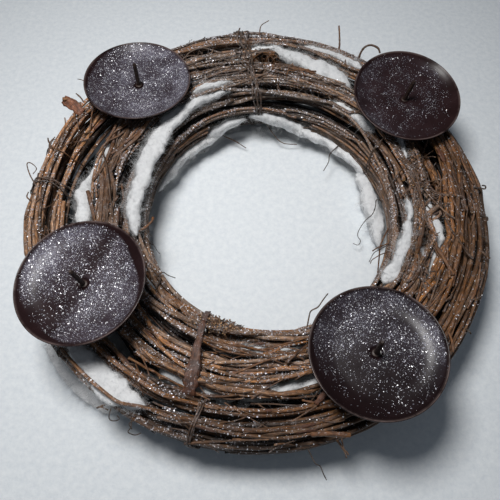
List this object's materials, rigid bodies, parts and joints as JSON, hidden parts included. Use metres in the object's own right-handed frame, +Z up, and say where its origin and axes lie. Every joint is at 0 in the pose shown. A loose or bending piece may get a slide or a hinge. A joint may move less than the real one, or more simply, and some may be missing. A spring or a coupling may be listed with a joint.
{
  "type": "advent candle holder",
  "caption": "Ring wreath of wound grapevine with tucked white fleece, twig wraps and dished dark metal candle plates, each turning on a spike whose stem pulls out of the vines.",
  "frame": {"origin": "bottom centre of the overall box, on the surface the wreath lies on", "axes": "+Z up, -Y towards the front of the picture, +X to its right"},
  "size_m": [0.3372, 0.3362, 0.0938],
  "materials": {
    "vine": "dry fibrous bark with scattered glitter",
    "twig": "thin dry twig bark",
    "bark": "peeled strip of dry bark",
    "fleece": "loose matt cotton fleece",
    "plate": "glossy dark lacquer with fine silver glitter on the floor",
    "spike": "satin dark lacquer"
  },
  "bodies": {
    "wreath": {"back_twig_wrap": "twig", "base_vine_1": "vine", "base_vine_2": "vine", "base_vine_3": "vine", "base_vine_4": "vine", "base_vine_5": "vine", "base_vine_6": "vine", "core_vine_1": "vine", "core_vine_2": "vine", "core_vine_3": "vine", "core_vine_4": "vine", "core_vine_5": "vine", "core_vine_6": "vine", "crown_vine_inner": "vine", "crown_vine_inner_low": "vine", "crown_vine_outer": "vine", "crown_vine_outer_low": "vine", "fleece_back_left": "fleece", "fleece_back_right": "fleece", "fleece_channel_front": "fleece", "fleece_channel_left": "fleece", "fleece_channel_right": "fleece", "fleece_crest_left": "fleece", "fleece_crest_right": "fleece", "fleece_crown_back": "fleece", "fleece_inner_back": "fleece", "fleece_inner_left": "fleece", "fleece_inner_right": "fleece", "fleece_outer_left": "fleece", "fleece_pocket_left": "fleece", "front_bark_strip": "bark", "front_twig_wrap": "twig", "inner_vine_foot": "vine", "inner_vine_heart": "vine", "inner_vine_lower": "vine", "inner_vine_middle": "vine", "inner_vine_shoulder": "vine", "inner_vine_upper": "vine", "left_lower_twig_wrap": "twig", "left_upper_twig_wrap": "twig", "outer_vine_foot": "vine", "outer_vine_heart": "vine", "outer_vine_heart_low": "vine", "outer_vine_lower": "vine", "outer_vine_middle": "vine", "outer_vine_shoulder": "vine", "outer_vine_upper": "vine", "right_twig_wrap": "twig"},
    "back_left_pick": {"back_left_spike": "spike", "back_left_collar": "spike"},
    "back_left_plate": {"back_left_dish": "plate"},
    "back_right_pick": {"back_right_spike": "spike", "back_right_collar": "spike"},
    "back_right_plate": {"back_right_dish": "plate"},
    "front_left_pick": {"front_left_spike": "spike", "front_left_collar": "spike"},
    "front_left_plate": {"front_left_dish": "plate"},
    "front_right_pick": {"front_right_spike": "spike", "front_right_collar": "spike"},
    "front_right_plate": {"front_right_dish": "plate"}
  },
  "joints": [
    {"name": "back_left_lift", "type": "slide", "parent": "wreath", "child": "back_left_pick", "axis": [0.019, 0.0609, 0.998], "range_m": [0, 0.06]},
    {"name": "back_left_turn", "type": "hinge", "parent": "back_left_pick", "child": "back_left_plate", "pos_m": [-0.09349, 0.0913, 0.069], "axis": [0.019, 0.0609, 0.998], "continuous": true},
    {"name": "back_right_lift", "type": "slide", "parent": "wreath", "child": "back_right_pick", "axis": [0.0419, -0.0588, 0.9974], "range_m": [0, 0.06]},
    {"name": "back_right_turn", "type": "hinge", "parent": "back_right_pick", "child": "back_right_plate", "pos_m": [0.11041, 0.0828, 0.0734], "axis": [0.0419, -0.0588, 0.9974], "continuous": true},
    {"name": "front_left_lift", "type": "slide", "parent": "wreath", "child": "front_left_pick", "axis": [-0.0807, 0.011, 0.9967], "range_m": [0, 0.06]},
    {"name": "front_left_turn", "type": "hinge", "parent": "front_left_pick", "child": "front_left_plate", "pos_m": [-0.10409, -0.0769, 0.0798], "axis": [-0.0807, 0.011, 0.9967], "continuous": true},
    {"name": "front_right_lift", "type": "slide", "parent": "wreath", "child": "front_right_pick", "axis": [-0.0834, 0.0824, 0.9931], "range_m": [0, 0.06]},
    {"name": "front_right_turn", "type": "hinge", "parent": "front_right_pick", "child": "front_right_plate", "pos_m": [0.07371, -0.1109, 0.0764], "axis": [-0.0834, 0.0824, 0.9931], "continuous": true}
  ]
}
